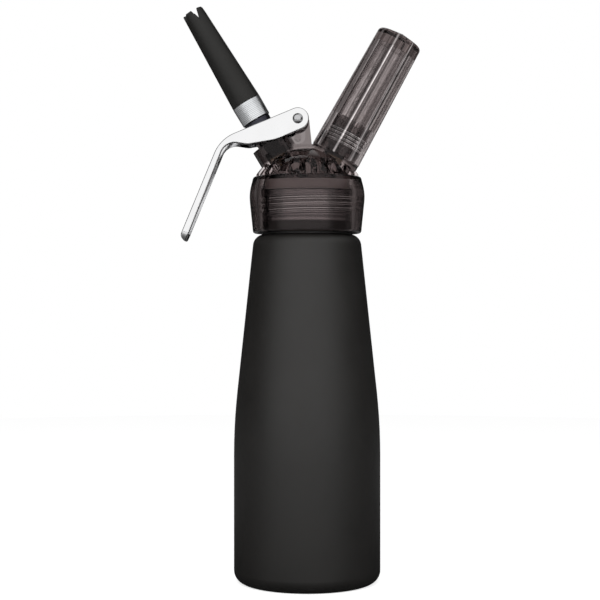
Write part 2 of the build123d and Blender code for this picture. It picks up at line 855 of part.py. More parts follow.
# ================================================================ charger side
def holder_ribs(bottom, top):
    """Straight guide ribs inside the holder that centre a charger."""
    ribs = []
    depth = holder_bore_radius - holder_rib_radius + thread_sink
    middle = holder_rib_radius + depth / 2
    for number in range(holder_rib_count):
        rib = Pos(middle, 0, (bottom + top) / 2) * Box(depth, holder_rib_width, top - bottom)
        angle = holder_first_groove_angle + (number + 0.5) * 360 / holder_rib_count
        ribs.append(Rot(0, 0, angle) * rib)
    return ribs


def holder_grooves():
    """Straight flat-bottomed grooves down the outside of the holder."""
    lean = degrees((holder_bottom_radius - holder_top_radius) / holder_length)
    length = holder_length - holder_groove_start
    start_share = holder_groove_start / holder_length
    start_radius = holder_bottom_radius + (holder_top_radius - holder_bottom_radius) * start_share
    floor = Pos(start_radius - holder_groove_depth, 0, holder_groove_start) * Rot(0, -lean, 0)
    corner = (Align.MIN, Align.CENTER, Align.MIN)
    cutter = floor * Box(2 * holder_groove_depth, holder_groove_width, 2 * length, align=corner)
    angles = [
        holder_first_groove_angle + number * 360 / holder_rib_count
        for number in range(holder_rib_count)
    ]
    return [Rot(0, 0, angle) * cutter for angle in angles]


def charger_holder():
    """Transparent fluted holder, closed at its far end, with an inside thread at its mouth."""
    points = [
        (0, 0),
        (holder_bottom_radius, 0),
        (holder_top_radius, holder_length),
        (0, holder_length + holder_end_dome),
    ]
    body = turned(points, [clear_gap, holder_end_rounding])
    for cutter in holder_grooves():
        body -= cutter
    thread_bore_top = boss_top_reach - holder_bottom_reach + clear_gap
    bore_top = holder_length - holder_end_wall
    body -= cylinder(holder_thread_bore, -cut_over, thread_bore_top)
    body -= cylinder(holder_bore_radius, 0, bore_top)
    for rib in holder_ribs(thread_bore_top, bore_top + thread_sink):
        body += rib
    body += thread_ridge(
        holder_thread_bore,
        holder_pitch,
        holder_thread_depth,
        holder_thread_runout + holder_pitch / 2,
        holder_thread_turns - 1,
        inward=True,
    )
    return charger_axis * Pos(0, 0, holder_bottom_reach) * body


def gas_filter():
    """Sintered disc under the piercing insert."""
    return charger_axis * cylinder(filter_radius, filter_bottom, filter_bottom + filter_thickness)


def insert_ring_middle():
    """Reach of the O-ring groove's middle on the piercing insert."""
    return insert_bottom + insert_ring_width


def piercer_body():
    """Brass insert in the well, bored for the needle and the gas."""
    body = cylinder(insert_radius, insert_bottom, insert_top)
    middle = insert_ring_middle()
    body -= tube(
        2 * insert_radius,
        insert_radius - insert_ring_depth,
        middle - insert_ring_width / 2,
        middle + insert_ring_width / 2,
    )
    body -= cylinder(gas_bore_radius, insert_bottom - cut_over, insert_top)
    body -= cylinder(needle_radius + fit_gap, needle_bottom, insert_top + cut_over)
    return charger_axis * body


def piercing_needle():
    """Hollow steel needle that opens a charger's neck."""
    point_start = needle_top - needle_point_length
    needle = cylinder(needle_radius, needle_bottom + seat_gap, point_start)
    needle += cone(needle_radius, needle_point_radius, point_start, needle_top)
    bore = cylinder(needle_bore_radius, needle_bottom - cut_over, needle_top + cut_over)
    return charger_axis * (needle - bore)


def piercer_o_ring():
    """Rubber ring in the insert's groove."""
    middle = insert_ring_middle()
    half = insert_ring_width / 2 - seat_gap
    inner = insert_radius - insert_ring_depth + fit_gap
    ring = tube(insert_radius, inner, middle - half, middle + half)
    return charger_axis * fillet(ring.edges(), (insert_radius - inner) / 4)


def charger_seal():
    """Sealing ring on the insert that a charger's neck presses on."""
    return charger_axis * tube(
        insert_radius - seat_gap,
        charger_seal_inner_radius,
        charger_seal_bottom,
        charger_seal_bottom + charger_seal_thickness,
    )


def check_valve():
    """Rubber disc over the gas bore inside the head."""
    top = check_recess_reach - seat_gap
    return charger_axis * cylinder(check_recess_radius - clear_gap, top - check_disc_thickness, top)


def check_valve_ring():
    """Ring pressed into the recess that keeps the rubber disc in place."""
    top = check_recess_reach - check_disc_thickness - 2 * seat_gap
    return charger_axis * tube(
        check_recess_radius - fit_gap, check_ring_inner_radius, top - check_ring_thickness, top
    )


NODES = {
    "bottle": bottle,
    "head_body": head_body,
    "head_gasket": head_gasket,
    "pivot_bush": pivot_bush,
    "valve_bush": valve_bush,
    "valve_stem": valve_stem,
    "stem_o_rings": stem_o_rings,
    "valve_seal": valve_seal,
    "valve_nut": valve_nut,
    "valve_spring": valve_spring,
    "spring_washer": spring_washer,
    "nozzle_collar": nozzle_collar,
    "nozzle_washer": nozzle_washer,
    "nozzle_tip": nozzle_tip,
    "lever": lever,
    "lever_pin": lever_pin,
    "lever_pin_clip": lever_pin_clip,
    "charger_holder": charger_holder,
    "gas_filter": gas_filter,
    "piercer_body": piercer_body,
    "piercing_needle": piercing_needle,
    "piercer_o_ring": piercer_o_ring,
    "charger_seal": charger_seal,
    "check_valve": check_valve,
    "check_valve_ring": check_valve_ring,
}

os.makedirs("parts", exist_ok=True)
for name, make in NODES.items():
    export_step(make(), f"parts/{name}.step")
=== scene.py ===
import json
from math import cos, pi, radians, sin

import bpy
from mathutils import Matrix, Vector


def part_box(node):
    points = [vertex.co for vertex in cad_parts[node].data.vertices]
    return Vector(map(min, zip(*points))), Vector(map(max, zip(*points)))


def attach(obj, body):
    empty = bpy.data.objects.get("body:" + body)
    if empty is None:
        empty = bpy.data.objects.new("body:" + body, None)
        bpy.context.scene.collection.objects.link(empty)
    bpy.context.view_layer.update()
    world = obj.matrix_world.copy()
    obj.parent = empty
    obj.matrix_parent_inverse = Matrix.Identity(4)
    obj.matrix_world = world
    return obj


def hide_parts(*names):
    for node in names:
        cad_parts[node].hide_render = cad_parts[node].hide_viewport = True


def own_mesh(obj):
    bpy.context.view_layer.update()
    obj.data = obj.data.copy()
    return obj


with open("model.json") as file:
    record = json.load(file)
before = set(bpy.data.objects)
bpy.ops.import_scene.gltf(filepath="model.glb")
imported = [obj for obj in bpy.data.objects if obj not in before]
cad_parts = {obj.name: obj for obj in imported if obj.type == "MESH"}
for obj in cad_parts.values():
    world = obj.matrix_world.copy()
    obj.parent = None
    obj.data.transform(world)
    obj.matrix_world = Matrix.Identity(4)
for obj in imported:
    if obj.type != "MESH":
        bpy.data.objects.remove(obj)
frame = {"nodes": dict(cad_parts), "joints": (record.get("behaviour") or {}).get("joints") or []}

bl_info = {
    "name": "Whipped cream dispenser",
    "version": (1, 0, 0),
    "blender": (4, 5, 0),
    "location": "3D View > Sidebar > Dispenser",
    "description": "Finishes for a hand whipper's pieces, and a pale stage with soft light",
    "category": "Object",
}

FULL_TURN = 2.0 * pi
VALVE = "nozzle_turn"
CHARGER = "holder_turn"
RUBBED_WIDTH = 0.0003
PATTERN_LOW = 0.3
PATTERN_HIGH = 0.7
TINT_EDGE = 0.001
PAINT_EDGE = 0.0001
FLAT_ENOUGH = 0.6
INSIDE_FLOOR_TOP = 0.03
FLOOR_SIDES = 64
SENSOR_WIDTH = 36.0
WHITE = (1.0, 1.0, 1.0, 1.0)
BLACK = (0.0, 0.0, 0.0, 1.0)


# ================================================================ wiring of node trees
class Wiring:
    """Short calls that add nodes to one node tree and join them."""

    def __init__(self, tree):
        self.tree = tree

    def put(self, value, socket):
        """Feeds a socket with another node's output or with a plain value."""
        if isinstance(value, bpy.types.NodeSocket):
            self.tree.links.new(value, socket)
        else:
            socket.default_value = value

    def node(self, kind, settings=None, **inputs):
        """New node; underscores in an input's name stand for spaces."""
        made = self.tree.nodes.new("ShaderNode" + kind)
        for name, value in (settings or {}).items():
            setattr(made, name, value)
        for name, value in inputs.items():
            self.put(value, made.inputs[name.replace("_", " ")])
        return made

    def math(self, operation, first, second=0.0, third=None, clamp=False):
        """One step of arithmetic on numbers."""
        made = self.node("Math", {"operation": operation, "use_clamp": clamp})
        self.put(first, made.inputs[0])
        self.put(second, made.inputs[1])
        if third is not None:
            self.put(third, made.inputs[2])
        return made.outputs[0]

    def dot(self, first, second):
        """How far two ways point alike."""
        made = self.node("VectorMath", {"operation": "DOT_PRODUCT"})
        self.put(first, made.inputs[0])
        self.put(second, made.inputs[1])
        return made.outputs["Value"]

    def apart(self, vector):
        """The three coordinates of a point."""
        return self.node("SeparateXYZ", Vector=vector).outputs

    def sideways(self, parts):
        """Way from the Z axis to a point, square to the axis."""
        return self.node("CombineXYZ", X=parts["X"], Y=parts["Y"]).outputs[0]

    def size(self, vector):
        """Length of a way."""
        return self.node("VectorMath", {"operation": "LENGTH"}, Vector=vector).outputs["Value"]

    def spread(self, value, low, high, to_low=0.0, to_high=1.0, smooth=False):
        """A value's stretch from low to high, moved to another stretch and held there."""
        kind = "SMOOTHSTEP" if smooth else "LINEAR"
        made = self.node("MapRange", {"interpolation_type": kind, "clamp": True})
        for index, number in enumerate((value, low, high, to_low, to_high)):
            self.put(number, made.inputs[index])
        return made.outputs[0]

    def vary(self, pattern, low, high):
        """A random pattern's usual stretch, moved to lie between two values."""
        return self.spread(pattern, PATTERN_LOW, PATTERN_HIGH, low, high)

    def shade(self, tint, tone):
        """A colour made lighter or darker by a tone."""
        made = self.node("VectorMath", {"operation": "SCALE"}, Vector=list(tint), Scale=tone)
        return made.outputs[0]

    def mix(self, share, first, second):
        """Colour between two colours."""
        made = self.node("Mix", {"data_type": "RGBA"})
        self.put(share, made.inputs["Factor"])
        self.put(first, made.inputs[6])
        self.put(second, made.inputs[7])
        return made.outputs[2]

    def blend(self, share, first, second):
        """Number between two numbers."""
        made = self.node("Mix", {"data_type": "FLOAT"})
        self.put(share, made.inputs["Factor"])
        self.put(first, made.inputs[2])
        self.put(second, made.inputs[3])
        return made.outputs[0]

    def noise(self, vector, size, detail=2.0, roughness=0.5):
        """Soft random pattern whose features are about size metres wide."""
        made = self.node("TexNoise", Vector=vector, Detail=detail, Roughness=roughness)
        self.put(self.math("DIVIDE", 1.0, size), made.inputs["Scale"])
        return made.outputs["Fac"]

    def rings(self, along, size, detail=2.0):
        """Random steps along one coordinate, the same all the way round."""
        made = self.node("TexNoise", {"noise_dimensions": "1D"}, Detail=detail, Scale=1.0)
        self.put(self.math("DIVIDE", along, size), made.inputs["W"])
        return made.outputs["Fac"]

    def place(self):
        """Point on the piece, in metres, which moves with the piece."""
        return self.node("TexCoord").outputs["Object"]


def plain_colour(colour, strength=1.0):
    """A colour property as a socket's value."""
    return [channel * strength for channel in colour] + [1.0]


def new_effect(name, inputs, outputs):
    """Empty node group: the wiring of its tree, its inputs and its outputs."""
    tree = bpy.data.node_groups.new(name, "ShaderNodeTree")
    for label, kind, value in inputs:
        socket = tree.interface.new_socket(name=label, in_out="INPUT", socket_type=kind)
        if value is not None:
            socket.default_value = value
    for label in outputs:
        tree.interface.new_socket(name=label, in_out="OUTPUT", socket_type="NodeSocketFloat")
    start = tree.nodes.new("NodeGroupInput")
    end = tree.nodes.new("NodeGroupOutput")
    return Wiring(tree), start.outputs, end.inputs


def grain_effect():
    """Fine moulded or sprayed grain, and a wide soft change of tone."""
    w, given, out = new_effect(
        "Grain", [("Size", "NodeSocketFloat", 0.0003)], ["Height", "Tone"]
    )
    place = w.place()
    w.put(w.noise(place, given["Size"], 2.0, 0.6), out["Height"])
    wide = w.math("MULTIPLY", given["Size"], 60.0)
    w.put(w.noise(place, wide, 3.0, 0.55), out["Tone"])
    return w.tree


def wear_effect():
    """Mask of rubbed edges, broken into patches."""
    w, given, out = new_effect(
        "Edge wear",
        [
            ("Width", "NodeSocketFloat", 0.0003),
            ("Amount", "NodeSocketFloat", 1.0),
            ("Patch", "NodeSocketFloat", 0.004),
        ],
        ["Mask"],
    )
    rounded = w.node("Bevel", {"samples": 4}, Radius=given["Width"]).outputs["Normal"]
    facing = w.node("NewGeometry").outputs["Normal"]
    edge = w.spread(w.dot(rounded, facing), 0.995, 0.85)
    patches = w.spread(w.noise(w.place(), given["Patch"], 4.0, 0.65), 0.42, 0.62)
    rubbed = w.math("MULTIPLY", edge, patches)
    w.put(w.math("MULTIPLY", rubbed, given["Amount"], clamp=True), out["Mask"])
    return w.tree


def marks_effect():
    """Marks of handling: wide smudges, and hair scratches that run two ways."""
    w, given, out = new_effect(
        "Handling marks", [("Size", "NodeSocketFloat", 0.012)], ["Smudge", "Scratch"]
    )
    place = w.place()
    w.put(w.spread(w.noise(place, given["Size"], 3.0, 0.6), 0.4, 0.72, smooth=True), out["Smudge"])
    hairs = []
    for turn in (0.6, 2.1):
        turned = w.node("Mapping", Vector=place)
        turned.inputs["Rotation"].default_value = (turn, 0.4 * turn, turn)
        turned.inputs["Scale"].default_value = (1.0, 1.0, 0.025)
        fine = w.math("MULTIPLY", given["Size"], 0.03)
        hairs.append(w.spread(w.noise(turned.outputs[0], fine, 1.0, 0.5), 0.7, 0.78))
    w.put(w.math("ADD", hairs[0], hairs[1], clamp=True), out["Scratch"])
    return w.tree


def turned_effect():
    """Fine rings left by a lathe, round the local Z axis."""
    w, given, out = new_effect(
        "Turned rings",
        [("Vector", "NodeSocketVector", None), ("Pitch", "NodeSocketFloat", 0.0004)],
        ["Height", "Tone"],
    )
    along = w.apart(given["Vector"])["Z"]
    feed = w.math("SINE", w.math("DIVIDE", w.math("MULTIPLY", along, FULL_TURN), given["Pitch"]))
    even = w.spread(feed, -1.0, 1.0)
    w.put(w.blend(0.5, even, w.rings(along, given["Pitch"], 2.0)), out["Height"])
    wide = w.math("MULTIPLY", given["Pitch"], 5.0)
    w.put(w.rings(along, wide, 1.0), out["Tone"])
    return w.tree


EFFECTS = {
    "Grain": grain_effect,
    "Edge wear": wear_effect,
    "Handling marks": marks_effect,
    "Turned rings": turned_effect,
}


def joint_named(name):
    """The frame's row of a joint."""
    return next(joint for joint in frame["joints"] if joint["name"] == name)


class Finish(Wiring):
    """A material with its Principled shader, in which the shared effects are placed."""

    def __init__(self, name):
        self.material = bpy.data.materials.new(name)
        self.material.use_nodes = True
        super().__init__(self.material.node_tree)
        self.shader = self.tree.nodes["Principled BSDF"]
        self.output = self.tree.nodes["Material Output"]

    def set(self, name, value):
        self.put(value, self.shader.inputs[name])

    def effect(self, name, **inputs):
        """One of the shared effects with this finish's own values."""
        tree = bpy.data.node_groups.get(name) or EFFECTS[name]()
        made = self.tree.nodes.new("ShaderNodeGroup")
        made.node_tree = tree
        for label, value in inputs.items():
            self.put(value, made.inputs[label])
        return made.outputs

    def along_axis(self, joint_name):
        """Point on the piece seen from a joint's axis, which is its local Z."""
        joint = joint_named(joint_name)
        turn = Vector(joint["axis"]).to_track_quat("Z", "Y").to_euler()
        made = self.node("Mapping", {"vector_type": "TEXTURE"}, Vector=self.place())
        made.inputs["Location"].default_value = joint["pos_m"]
        made.inputs["Rotation"].default_value = turn
        return made.outputs[0]

    def bump(self, height, depth, strength=1.0, under=None):
        """Relief of the surface, up to depth metres."""
        made = self.node("Bump", Strength=strength, Distance=depth, Height=height)
        if under is not None:
            self.put(under, made.inputs["Normal"])
        return made.outputs[0]

    def dress(self, *names):
        """Gives this finish to CAD nodes."""
        for name in names:
            slots = frame["nodes"][name].data.materials
            slots.clear()
            slots.append(self.material)


# ================================================================ sizes and colours to change
def colour(name, description, default):
    return bpy.props.FloatVectorProperty(
        name=name, description=description, default=default, subtype="COLOR", min=0.0, max=1.0
    )


def length(name, description, default):
    return bpy.props.FloatProperty(
        name=name, description=description, default=default, min=0.0, unit="LENGTH", precision=5
    )


def share(name, description, default):
    return bpy.props.FloatProperty(
        name=name, description=description, default=default, min=0.0, max=1.0, subtype="FACTOR"
    )


def density(name, description, default):
    return bpy.props.FloatProperty(
        name=name, description=description, default=default, min=0.0
    )


def direction(name, description, default):
    return bpy.props.FloatVectorProperty(
        name=name, description=description, default=default, subtype="DIRECTION"
    )


def point(name, description, default):
    return bpy.props.FloatVectorProperty(
        name=name, description=description, default=default, subtype="TRANSLATION", unit="LENGTH"
    )


def power(name, description, default):
    return bpy.props.FloatProperty(
        name=name, description=description, default=default, min=0.0, unit="POWER"
    )


class PaintSettings(bpy.types.PropertyGroup):
    """Matte coat of the bottle and the bare metal under it."""

    coat: colour("Coat", "Colour of the matte black coat", (0.0135, 0.0125, 0.0115))
    coat_roughness: share("Coat roughness", "How matte the coat is", 0.5)
    coat_grain: length("Coat grain", "Width of the sprayed grain", 0.00035)
    bare: colour("Bare metal", "Colour of the drawn aluminium", (0.6, 0.6, 0.61))
    bare_length: length("Bare neck", "Length of the unpainted neck below the lip", 0.0164)
    wear: share("Wear", "How far the coat is rubbed off its sharp edges", 0.5)


class SmokedSettings(bpy.types.PropertyGroup):
    """Transparent smoked plastic of the head and the charger holder."""

    tint: colour("Tint", "Colour that the plastic lets through", (0.42, 0.36, 0.35))
    head_density: density("Head density", "How fast the head's plastic darkens", 100.0)
    holder_density: density("Holder density", "How fast the holder's plastic darkens", 120.0)
    head_marks: length("Head marks", "Width of the smudges on the head", 0.014)
    holder_marks: length("Holder marks", "Width of the smudges on the holder", 0.011)
    # Painted glint: the colour the holder's grooves glow with, standing in for highlights from
    # lamps.
    painted_glint: colour("Glint", "Light that the holder's grooves lead to the eye", (0.28, 0.265, 0.265))
    refraction: bpy.props.FloatProperty(
        name="Refraction", description="Index of refraction", default=1.5, min=1.0, max=2.0
    )
    mirror_tint: colour("Mirror tint", "Colour of what the plastic mirrors", (0.5, 0.46, 0.46))
    polish: share("Roughness", "Roughness of the polished faces", 0.03)
    ripple: length("Ripple", "Width of the soft ripples left by moulding", 0.004)
    # Painted light and shade on the head: one lighter or darker level of the same plastic for each
    # part, and painted shade at the skirt's edges.
    skirt_painted_shading: colour("Skirt tint", "Tint of the skirt's surface", (0.6, 0.55, 0.55))
    dome_painted_shading: colour("Dome tint", "Tint of the dome's surface", (0.75, 0.7, 0.7))
    web_painted_shading: colour("Web tint", "Tint of the web and the charger boss", (0.37, 0.34, 0.34))
    boss_painted_shade: colour("Boss tint", "Tint of the valve boss", (0.05, 0.043, 0.043))
    boss_radius: length("Boss radius", "Radius of the valve boss", 0.0115)
    rim_painted_shade: colour("Rim tint", "Tint where the skirt turns away", (0.02, 0.017, 0.017))
    skirt_top: length("Skirt top", "Height of the skirt's top edge", 0.2216)
    dome_middle: length("Dome middle", "Height of the middle of the dome's ball", 0.2035)
    dome_radius: length("Dome radius", "Radius of the dome's ball", 0.034)
    # Painted light and shade on the lands between the grooves, standing in for light bent through
    # the plastic.
    land_painted_shade: colour("Dark streaks", "Darkest streak between the grooves", (0.18, 0.16, 0.16))
    land_painted_light: colour("Light streaks", "Lightest streak between the grooves", (0.88, 0.84, 0.84))
    groove_count: bpy.props.IntProperty(
        name="Grooves", description="Number of the holder's long grooves", default=8, min=1
    )
    groove_half_width: share("Groove half width", "As a share of the grooves' spacing", 0.045)
    first_groove: bpy.props.FloatProperty(
        name="First groove",
        description="Turn of the holder's first groove round its axis",
        default=radians(-187.0),
        subtype="ANGLE",
    )


class MetalSettings(bpy.types.PropertyGroup):
    """Chrome, aluminium, steel and brass."""

    chrome: colour("Chrome", "Colour of the polished chrome", (0.92, 0.92, 0.925))
    aluminium: colour("Aluminium", "Colour of the turned aluminium", (0.93, 0.95, 0.97))
    steel: colour("Steel", "Colour of the stainless steel", (0.58, 0.58, 0.59))
    # Painted shade: the stem's steel is coloured near black with a blue cast, standing in for the
    # shade it sits in under the collar; the spring shares this colour.
    steel_painted_shade: colour("Dark steel", "Colour of the valve's burnished steel", (0.06, 0.06, 0.075))
    brass: colour("Brass", "Colour of the machined brass", (0.2, 0.155, 0.1))
    line_pitch: length("Line pitch", "Width of the collar's turned lines", 0.00087)


class SoftSettings(bpy.types.PropertyGroup):
    """Black plastic, rubber and silicone."""

    plastic: colour("Black plastic", "Colour of the nozzle's tip", (0.0135, 0.013, 0.012))
    plastic_roughness: share("Plastic roughness", "How satin the tip is", 0.48)
    rubber: colour("Rubber", "Colour of the seals", (0.018, 0.018, 0.018))
    silicone: colour("Silicone", "Colour of the head's gasket", (1.0, 0.95, 0.94))


class StageSettings(bpy.types.PropertyGroup):
    """Floor, lamps, surroundings and camera."""

    floor: colour("Floor", "Colour of the floor", (0.86, 0.86, 0.86))
    floor_radius: length("Floor radius", "Radius of the round floor", 1.2)
    floor_glow: share("Floor glow", "How white the floor shows by itself", 0.82)
    front_power: power("Front lamp", "Power of the large soft lamp in front", 8.0)
    ambient: share("Ambient", "Level of the light from all round", 0.14)
    side_tone: share("Side tone", "How light the sides of the room look in reflections", 0.02)
    back_tone: share("Back tone", "How light the high back light looks in reflections", 0.5)
    right_tone: share("Right tone", "How light the high right light looks in reflections", 0.75)
    through_tone: share("Through tone", "How light the sides look through clear plastic", 0.5)
    # Painted shade on the floor near the object, shown in reflections only.
    near_floor_painted_shade: share("Floor tone", "How light the near floor looks in reflections", 0.1)
    front_way: direction("Front", "Way to the white front of the room", (-0.1, -1.0, 0.24))
    right_way: direction("High right", "Way to the light high on the right", (0.62, -0.35, 0.82))
    back_way: direction("High back", "Way to the light high at the back", (0.0, 1.0, 0.75))
    lamp_place: point("Lamp", "Where the front lamp hangs", (-0.05, -0.9, 0.75))
    lamp_aim: point("Lamp's aim", "Where the front lamp points", (0.0, 0.0, 0.18))
    lamp_width: length("Lamp width", "Width of the front lamp", 0.6)
    lamp_height: length("Lamp height", "Height of the front lamp", 0.5)
    camera_place: point("Camera", "Where the camera stands", (-0.0039, -0.821, 0.1543))
    lens: bpy.props.FloatProperty(
        name="Lens", description="Focal length", default=90.0, min=10.0, unit="CAMERA"
    )


class DispenserSettings(bpy.types.PropertyGroup):
    """All settings of the dispenser."""

    paint: bpy.props.PointerProperty(type=PaintSettings)
    smoked: bpy.props.PointerProperty(type=SmokedSettings)
    metal: bpy.props.PointerProperty(type=MetalSettings)
    soft: bpy.props.PointerProperty(type=SoftSettings)
    stage: bpy.props.PointerProperty(type=StageSettings)


# ================================================================ finishes
def coated_bottle(s):
    """Sprayed black coat outside; drawn bare aluminium inside and on the neck's thread."""
    f = Finish("matte black coat")
    place = f.place()
    parts = f.apart(place)
    grain = f.effect("Grain", Size=s.coat_grain)
    worn = f.effect("Edge wear", Width=0.0004, Amount=s.wear, Patch=0.003)["Mask"]
    lines = f.effect("Turned rings", Vector=place, Pitch=0.0005)
    paint_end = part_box("bottle")[1].z - s.bare_length
    neck = f.spread(parts["Z"], paint_end - PAINT_EDGE, paint_end + PAINT_EDGE)
    facing = f.node("NewGeometry").outputs["Normal"]
    wall_inside = f.spread(f.dot(facing, f.sideways(parts)), -0.004, -0.006)
    floor_inside = f.math(
        "MULTIPLY",
        f.math("GREATER_THAN", f.apart(facing)["Z"], FLAT_ENOUGH),
        f.math("LESS_THAN", parts["Z"], INSIDE_FLOOR_TOP),
    )
    inside = f.math("ADD", wall_inside, floor_inside, clamp=True)
    bare = f.math("MAXIMUM", f.math("ADD", neck, inside, clamp=True), worn)
    tone = f.vary(grain["Tone"], 0.9, 1.1)
    coat = f.shade(s.coat, tone)
    metal_tone = f.spread(lines["Tone"], 0.35, 0.65, 0.45, 1.0)
    f.set("Base Color", f.mix(bare, coat, f.shade(s.bare, metal_tone)))
    f.set("Metallic", bare)
    coat_rough = f.vary(grain["Tone"], s.coat_roughness - 0.04, s.coat_roughness + 0.04)
    bare_rough = f.vary(lines["Height"], 0.12, 0.26)
    f.set("Roughness", f.blend(bare, coat_rough, bare_rough))
    f.set("Specular IOR Level", 0.66)
    relief = f.blend(bare, grain["Height"], lines["Height"])
    f.set("Normal", f.bump(relief, 0.00002, 0.5))
    return f


def streaks_round(f, s):
    """Masks round the holder's axis for painted light and shade: grooves painted light, their
    flanks painted with shade, streaks of painted light and shade between them, and painted glints
    along the grooves.
    """
    half_width = s.groove_half_width
    parts = f.apart(f.along_axis(CHARGER))
    turn = f.math("ARCTAN2", parts["Y"], parts["X"])
    past_first = f.math("SUBTRACT", turn, s.first_groove)
    away = f.math("PINGPONG", f.math("MULTIPLY", past_first, s.groove_count / FULL_TURN), 0.5)
    groove = f.spread(away, half_width * 0.7, half_width, 1.0, 0.0)
    flank_painted_shade = f.spread(away, half_width * 2.0, half_width * 2.8, 1.0, 0.0)
    ring = f.node("VectorMath", {"operation": "NORMALIZE"}, Vector=f.sideways(parts))
    fine = f.noise(ring.outputs[0], 0.1, 3.0, 0.7)
    # Mask of the painted glint: a soft band along each groove, uneven along its length.
    soft = f.spread(away, half_width * 0.3, half_width * 2.0, 1.0, 0.0, smooth=True)
    uneven = f.spread(f.rings(parts["Z"], 0.008, 3.0), 0.3, 0.65, 0.45, 1.0)
    return groove, flank_painted_shade, fine, f.math("MULTIPLY", soft, uneven)


def painted_shading_of_head(f, s):
    """Painted light and shade on the head's surface: a lighter or darker level of the same plastic
    for the skirt, the dome, the valve boss and the web, and painted shade where the skirt turns
    away from the camera.
    """
    place = f.place()
    from_middle = f.node("VectorMath", {"operation": "DISTANCE"}, Vector=place)
    from_middle.inputs[1].default_value = (0.0, 0.0, s.dome_middle)
    beyond = f.spread(
        from_middle.outputs["Value"],
        s.dome_radius + 0.3 * TINT_EDGE,
        s.dome_radius + TINT_EDGE,
    )
    from_valve = f.size(f.sideways(f.apart(f.along_axis(VALVE))))
    boss = f.spread(from_valve, s.boss_radius, s.boss_radius + 0.6 * TINT_EDGE)
    outer = f.mix(boss, plain_colour(s.boss_painted_shade), plain_colour(s.web_painted_shading))
    upper = f.mix(beyond, plain_colour(s.dome_painted_shading), outer)
    skirt = f.spread(f.apart(place)["Z"], s.skirt_top, s.skirt_top - TINT_EDGE)
    # Painted shade where the skirt's surface turns away from the camera.
    rim_shade_mask = f.spread(f.node("LayerWeight", Blend=0.5).outputs["Facing"], 0.22, 0.5)
    lower = f.mix(rim_shade_mask, plain_colour(s.skirt_painted_shading), plain_colour(s.rim_painted_shade))
    return f.mix(skirt, upper, lower)


def smoked_plastic(name, s, darkening, marks_width):
    """Clear plastic with a smoked tint in its depth, hair scratches and soft moulding ripples."""
    f = Finish(name)
    marks = f.effect("Handling marks", Size=marks_width)
    ripple = f.effect("Grain", Size=s.ripple)
    rough = f.math("MULTIPLY_ADD", marks["Scratch"], 0.12, s.polish)
    f.set("Roughness", f.math("ADD", rough, f.math("MULTIPLY", marks["Smudge"], 0.02)))
    f.set("Metallic", 0.0)
    f.set("IOR", s.refraction)
    f.set("Specular Tint", plain_colour(s.mirror_tint))
    f.set("Transmission Weight", 1.0)
    f.set("Normal", f.bump(ripple["Height"], 0.00006, 0.4))
    depth = f.node("VolumeAbsorption", Color=plain_colour(s.tint), Density=darkening)
    f.put(depth.outputs[0], f.output.inputs["Volume"])
    return f


def polished_metal(name, tint, roughness, patch, wear=0.3):
    """Polished metal with smudges, hair scratches and edges rubbed brighter."""
    f = Finish(name)
    marks = f.effect("Handling marks", Size=patch)
    worn = f.effect("Edge wear", Width=RUBBED_WIDTH, Amount=wear, Patch=0.002)["Mask"]
    grain = f.effect("Grain", Size=0.0002)
    dull = f.vary(grain["Tone"], 0.97, 1.0)
    bright = plain_colour([min(1.0, channel * 1.06) for channel in tint])
    f.set("Base Color", f.mix(worn, f.shade(tint, dull), bright))
    f.set("Metallic", 1.0)
    smudged = f.math("MULTIPLY", marks["Smudge"], 0.05)
    scratched = f.math("MULTIPLY", marks["Scratch"], 0.1)
    rough = f.math("ADD", f.math("ADD", smudged, scratched), roughness)
    f.set("Roughness", rough)
    f.set("Normal", f.bump(f.math("SUBTRACT", grain["Height"], marks["Scratch"]), 0.000004, 0.3))
    return f


def turned_metal(name, tint, joint_name, pitch, roughness, dark_line=0.88):
    """Metal turned on a lathe round a joint's axis."""
    f = Finish(name)
    lines = f.effect("Turned rings", Vector=f.along_axis(joint_name), Pitch=pitch)
    marks = f.effect("Handling marks", Size=0.008)
    worn = f.effect("Edge wear", Width=RUBBED_WIDTH, Amount=0.6, Patch=0.002)["Mask"]
    tone = f.vary(lines["Height"], dark_line, 1.0)
    bright = plain_colour([min(1.0, channel * 1.1) for channel in tint])
    f.set("Base Color", f.mix(worn, f.shade(tint, tone), bright))
    f.set("Metallic", 1.0)
    rough = f.spread(lines["Tone"], 0.25, 0.75, roughness - 0.05, roughness + 0.08)
    f.set("Roughness", f.math("ADD", rough, f.math("MULTIPLY", marks["Smudge"], 0.06)))
    f.set("Normal", f.bump(lines["Height"], 0.00002, 0.6))
    return f


def moulded_plastic(name, tint, roughness):
    """Satin black plastic with a fine grain and a faint parting line at its two sides."""
    f = Finish(name)
    grain = f.effect("Grain", Size=0.00022)
    marks = f.effect("Handling marks", Size=0.01)
    worn = f.effect("Edge wear", Width=RUBBED_WIDTH, Amount=0.35, Patch=0.002)["Mask"]
    tone = f.vary(grain["Tone"], 0.88, 1.12)
    f.set("Base Color", f.mix(worn, f.shade(tint, tone), plain_colour(tint, 2.2)))
    rough = f.vary(grain["Tone"], roughness - 0.05, roughness + 0.05)
    f.set("Roughness", f.math("SUBTRACT", rough, f.math("MULTIPLY", marks["Smudge"], 0.06)))
    f.set("Specular IOR Level", 0.37)
    off_middle = f.math("ABSOLUTE", f.apart(f.place())["Y"])
    seam = f.spread(off_middle, 0.00016, 0.00004, smooth=True)
    fine = f.bump(grain["Height"], 0.00001, 0.4)
    f.set("Normal", f.bump(seam, 0.00004, 0.7, under=fine))
    return f


